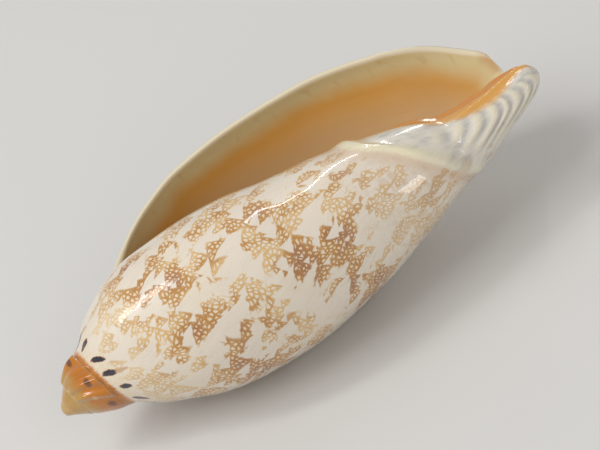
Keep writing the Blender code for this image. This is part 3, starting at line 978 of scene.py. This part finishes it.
def spire_colour(graph, turn, depth, below, jitter):
    """Amber whorls, brown by the last suture, paler towards the apex, with pale lines along the sutures."""
    step, mix, noise = graph.step, graph.mix, graph.noise
    share = below / ((depth - below) * (SUTURE_RATIO - 1))
    cloud = noise(turn * 0.05, share * 2, 1, seed=44)
    amber = mix(step(0.1, 0.55, share + (cloud - 0.5) * 0.5), STRAW, AMBER)
    burnt = step(0.35, 0.95, share) * step(*BURNT_SPIRE, turn) * 0.5
    place = turn / SPOT_SPACING + SPOT_START
    aside = (place - place.floor() - 0.5) * SPOT_SPACING / SPOT_SIZE[0]
    along = (share - SPOT_MIDDLE) / SPOT_SIZE[1]
    spot = step(1.5, 0.1, aside * aside + along * along + jitter * 1.5)
    away = graph.distance(graph.vector(turn / 8, share * 9), (577 / 8, 4.5, 0))
    fleck = (step(1, 0.3, away) * 0.7, SUTURE_CREAM)
    pale = step(*PALE_SPIRE, turn)
    lines = step(0.9, 0.955, share).most(step(0.12, 0, share) * 0.5)
    sutures = (lines * (pale * 0.5 + 0.2), SUTURE_CREAM)
    return graph.over(amber, (burnt, BURNT), (spot * 0.9, BURNT), fleck, (pale, STRAW), sutures)


def front_colour(graph, turn, depth, share, phase):
    """The glaze round the front end: ribs with a painted highlight in cream on their crests and painted
    shade in slate in their troughs, and orange on the pillar's side.
    """
    step, mix, noise = graph.step, graph.mix, graph.noise
    cloud = noise(turn * TURN_WIDTH, depth, 0.2, seed=50)
    fine = noise(turn * TURN_WIDTH, depth, 0.55, seed=52) - 0.5
    wave = (phase * (2 * math.pi)).cos() + fine * 1.2
    ribbed = step(*RIBBED_SHARE, share) * step(*RIBBED_FALL, turn)
    ribbed = ribbed * step(*RIBBED_RISE, turn)
    # Painted shade: the troughs between the ribs are darkened towards slate, by a share that varies at
    # random.
    painted_trough_shade = ribbed * step(-0.6, 1.3, wave) * (step(0.3, 0.6, cloud) * 0.45 + 0.18)
    # Painted highlight: the crests of the ribs are lightened towards cream.
    colour = mix(step(0.2, -0.9, wave) * ribbed * 0.5, CALLUS, RIDGE_CREAM)
    glazed = (1 - ribbed) * step(0.44, 0.72, cloud + fine * 0.3) * 0.7
    stain = step(0.52, 0.7, cloud - fine * 0.4) * step(*STAINED_TURNS, turn)
    stain = stain * step(*STAINED_SHARE, share)
    # The ridge has its own cream, laid stronger from turn 190 to 250 on as a painted highlight along that
    # part of the ridge.
    ridge_cream_and_highlight = step(0.12, 0.01, share + fine * 0.04) * (step(190, 250, turn) * 0.5 + 0.4)
    near_tip = step(*TIP_DEPTHS, depth)
    edge = share - 0.22 - (320 - turn) * 0.0046
    orange = step(-0.06, 0.1, edge + (cloud - 0.5) * 0.2)
    orange = orange * step(248, 274, turn - near_tip * 30 + fine * 14)
    warm = mix(step(294, 306, turn - near_tip * 8), ORANGE, RED_ORANGE)
    # Slate lays the painted shade of the troughs and the glaze's own grey mottling.
    layers = ((painted_trough_shade + glazed, SLATE), (stain * 0.5, TAN), (ridge_cream_and_highlight, RIDGE_CREAM), (orange, warm))
    return graph.over(colour, *layers)


def outside_material():
    material = bpy.data.materials.new("shell_outside")
    graph = Graph(material)
    step, mix, noise = graph.step, graph.mix, graph.noise
    turn, depth = graph.map("growth")
    below, share = graph.map("lines")
    phase = graph.map("ribs")[0]
    colour, growth, line, jitter = net_colour(graph, turn, depth)
    # Below the suture the net gives way to a pale band with dark dashes.
    dash, trail = dash_shape(graph, turn, below, jitter)
    band_colour = mix(step(0.05, 0.45, jitter + 0.2), PORCELAIN, CREAM)
    colour = graph.over(
        colour,
        (step(*SUTURE_BAND, below + jitter * 3), band_colour),
        (step(*SUTURE_STAIN, below + jitter) * 0.95, AMBER),
        (trail * 0.7, OCHRE),
        (step(0, 0.5, dash), RUST),
        (step(0.35, 0.8, dash), INK),
        (step(*SPIRE_START, turn), spire_colour(graph, turn, depth, below, jitter)),
    )
    # The front end below the ridge, and a brown shade along the ridge's other side.
    around = graph.between(*FRONT_TURNS, turn)
    shade = step(*RIDGE_SHADE, share + jitter * 0.12) * around
    front = step(*FRONT_SHARE, share + jitter * 0.05) * around
    glaze = front_colour(graph, turn, depth, share, phase)
    # Past the inner edge of the opening the face is glazed like the inside.
    into = step(*GLAZED_RISE, turn) * step(*GLAZED_DEPTHS, depth)
    into = into * step(*GLAZED_FALL, turn) * step(0.3, 0, share)
    colour = graph.over(colour, (shade * 0.42, TAN), (front, glaze), (into, PEACH))
    striae = noise(growth * 2.4, line * 0.16, 1, 3, seed=70)
    waves = noise(growth * 0.5, line * 0.08, 1, 1, seed=75)
    graph.bump(striae * 0.16 + waves, OUTSIDE_RELIEF)
    gloss = noise(turn * TURN_WIDTH, depth, 0.5, seed=80)
    graph.finish(colour, gloss * 0.16 + 0.2, *OUTSIDE_COAT)
    return material


def inside_material():
    material = bpy.data.materials.new("shell_inside")
    graph = Graph(material)
    step, mix, noise = graph.step, graph.mix, graph.noise
    turn, depth = graph.map("growth")
    from_lip, share = graph.map("lines")
    across = turn * TURN_WIDTH
    cloud = noise(across, depth, 0.14, seed=60) - 0.5
    inward = from_lip + cloud * 3
    spots = noise(from_lip * 0.7, depth, 0.5, 1, seed=66)
    spotted = step(0.58, 0.72, spots) * step(*RIM_SPOTS, from_lip) * 0.25
    away = graph.distance(graph.vector(across, depth), (LIP_STAIN[0] * TURN_WIDTH, LIP_STAIN[1], 0))
    stained = step(3.2, 1, away) * step(3, 0.5, from_lip) * 0.6
    # The folds of the pillar are orange, and their crests are lightened towards callus as a painted
    # highlight.
    crest = ((share - FOLD_SHARES[0] + (turn - 360) * FOLD_SLOPE) / FOLD_SPACING * (2 * math.pi)).cos()
    fold_colour_and_highlight = mix(step(0.2, 1, crest) * 0.8, ORANGE, CALLUS)
    pillar_side = step(*PILLAR_SHARE, share) * step(*PILLAR_RISE, turn)
    pillar_side = pillar_side * step(*PILLAR_FALL, turn)
    colour = graph.over(
        mix(step(*INNER_PEACH, inward), GOLD, PEACH),
        (step(*RIM_CREAM, inward), LIP_CREAM),
        (spotted, LIP_SPOT),
        (step(*RIM_WHITE, from_lip), LIP_WHITE),
        (stained, LIP_SPOT),
        (pillar_side, fold_colour_and_highlight),
    )
    graph.bump(noise(across * 0.9, depth * 0.16, 1, seed=85), INSIDE_RELIEF)
    graph.finish(colour, cloud * 0.15 + 0.24, *INSIDE_COAT)
    return material


def shell_object():
    """The shell as one smooth piece, with its maps and materials."""
    shell = Shell()
    mesh = bpy.data.meshes.new("shell_visual")
    points = laid_down(np.array(shell.points))
    mesh.from_pydata([tuple(p) for p in points], [], shell.faces)
    growth = np.array(shell.maps, np.float32)
    turns, depths = growth[:, 0].astype(float), growth[:, 1].astype(float)
    counts = np.array([len(f) for f in shell.faces])
    inside = np.repeat(np.array(shell.sides) == INSIDE, counts)
    line = ridge(turns)
    share = (depths - line) / (front_edge(turns) - line)
    lip_turn = swept(0.0, depths, float(column_end(0)))
    reach = np.radians(turns - lip_turn) * whorl(turns, depths)
    from_edge = curve(EDGE_TURNS, EDGE_DEPTHS, turns) - depths
    from_lip = np.where(turns >= 360, FAR_INSIDE, np.maximum(np.minimum(reach, from_edge), 0))
    below = depths - suture(turns)
    lines = np.stack([np.where(inside, from_lip, below), share], axis=-1).astype(np.float32)
    ribs = np.stack([rib_phase(turns, depths), share], axis=-1).astype(np.float32)
    for name, values in (("growth", growth), ("lines", lines), ("ribs", ribs)):
        layer = mesh.uv_layers.new(name=name)
        layer.uv.foreach_set("vector", values.ravel())
    mesh.materials.append(outside_material())
    mesh.materials.append(inside_material())
    mesh.polygons.foreach_set("material_index", np.array(shell.sides, np.int32))
    mesh.polygons.foreach_set("use_smooth", np.ones(len(shell.faces), bool))
    body = bmesh.new()
    body.from_mesh(mesh)
    bmesh.ops.recalc_face_normals(body, faces=body.faces[:])
    body.to_mesh(mesh)
    body.free()
    piece = bpy.data.objects.new("shell_visual", mesh)
    bpy.context.scene.collection.objects.link(piece)
    return piece


# The floor: half its side in metres, its colour and its roughness.
FLOOR_SIZE = 3.0
FLOOR_COLOUR = (0.66, 0.65, 0.63, 1)
FLOOR_ROUGHNESS = 0.7


def add_floor():
    material = bpy.data.materials.new("pale_floor")
    Graph(material).finish(FLOOR_COLOUR, FLOOR_ROUGHNESS)
    mesh = bpy.data.meshes.new("floor")
    signs = ((-1, -1), (1, -1), (1, 1), (-1, 1))
    mesh.from_pydata([(x * FLOOR_SIZE, y * FLOOR_SIZE, 0) for x, y in signs], [], [(0, 1, 2, 3)])
    mesh.materials.append(material)
    floor_piece = bpy.data.objects.new("floor", mesh)
    bpy.context.scene.collection.objects.link(floor_piece)
    floor_piece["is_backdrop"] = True


# The view: the left side of the opening, with the long axis rising to the right. Places are in metres. The
# point that is aimed at lies at this pixel of the photo.
CAMERA_ANGLE = -140
CAMERA_DISTANCE = 0.42
CAMERA_NEAR = 0.01
CAMERA_LENS = 132.0
CAMERA_SENSOR = 36
CAMERA_ROLL = 35.54
AIM = Vector((0.0, 0.0, 0.0179))
AIM_PIXEL = (293.6, 235.4)
PHOTO_SIZE = (600, 450)


def add_camera():
    angle = math.radians(CAMERA_ANGLE)
    back = Vector(turned([math.cos(angle), math.sin(angle), 0.0]))
    axis = Vector(turned([0.0, 0.0, -1.0]))
    right = (axis - back * axis.dot(back)).normalized()
    up = back.cross(right)
    roll = math.radians(CAMERA_ROLL)
    rolled_right = right * math.cos(roll) - up * math.sin(roll)
    rolled_up = right * math.sin(roll) + up * math.cos(roll)
    data = bpy.data.cameras.new("camera")
    data.lens = CAMERA_LENS
    data.sensor_width = CAMERA_SENSOR
    data.clip_start = CAMERA_NEAR
    data.shift_x = (PHOTO_SIZE[0] / 2 - AIM_PIXEL[0]) / PHOTO_SIZE[0]
    data.shift_y = (AIM_PIXEL[1] - PHOTO_SIZE[1] / 2) / PHOTO_SIZE[0]
    camera = bpy.data.objects.new("camera", data)
    turn = Matrix((rolled_right, rolled_up, back)).transposed().to_4x4()
    camera.matrix_world = Matrix.Translation(AIM + back * CAMERA_DISTANCE) @ turn
    bpy.context.scene.collection.objects.link(camera)
    bpy.context.scene.camera = camera


# The even light, and the lamps: direction, distance and size in metres, power in watts, and softness.
WORLD_COLOUR = (0.90, 0.89, 0.88, 1)
WORLD_STRENGTH = 0.45
LAMPS = (
    ("soft_left", (-0.7, -0.2, 0.9), 0.9, (0.5, 0.6), 3.3, True),
    ("soft_front", (0.3, -1.0, 0.7), 1.1, (0.6, 0.6), 2.0, True),
    ("window", (-0.6, 0.12, 0.79), 0.9, (0.12, 0.56), 1.9, False),
    ("back_window", (0.44, 0.84, 0.32), 0.9, (0.05, 0.3), 0.5, False),
    ("far_window", (0.25, 0.52, 0.83), 0.9, (0.02, 0.45), 0.5, False),
    ("side_window", (0.57, -0.8, 0.14), 0.9, (0.035, 0.24), 0.22, False),
)


def add_light(name, direction, distance, size, power, soft):
    """An area light aimed at the shell. A soft one lights it without showing in its gloss."""
    data = bpy.data.lights.new(name, "AREA")
    data.shape = "RECTANGLE"
    data.size, data.size_y = size
    data.energy = power
    light = bpy.data.objects.new(name, data)
    toward = Vector(direction).normalized()
    light.location = AIM + toward * distance
    light.rotation_euler = toward.to_track_quat("Z", "Y").to_euler()
    light.visible_glossy = not soft
    bpy.context.scene.collection.objects.link(light)


def add_world():
    world = bpy.data.worlds.new("world")
    world.use_nodes = True
    background = world.node_tree.nodes["Background"]
    background.inputs["Color"].default_value = WORLD_COLOUR
    background.inputs["Strength"].default_value = WORLD_STRENGTH
    bpy.context.scene.world = world


def corners(pair):
    return [[float(v) for v in corner_point] for corner_point in pair]


solid_bounds = corners(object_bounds())

shell = shell_object()
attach(shell, "root")
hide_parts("shell")

add_floor()
add_camera()
add_world()
for lamp in LAMPS:
    add_light(*lamp)
bpy.context.scene.view_settings.view_transform = "Standard"

{"solids": solid_bounds, "visual": corners(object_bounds())}
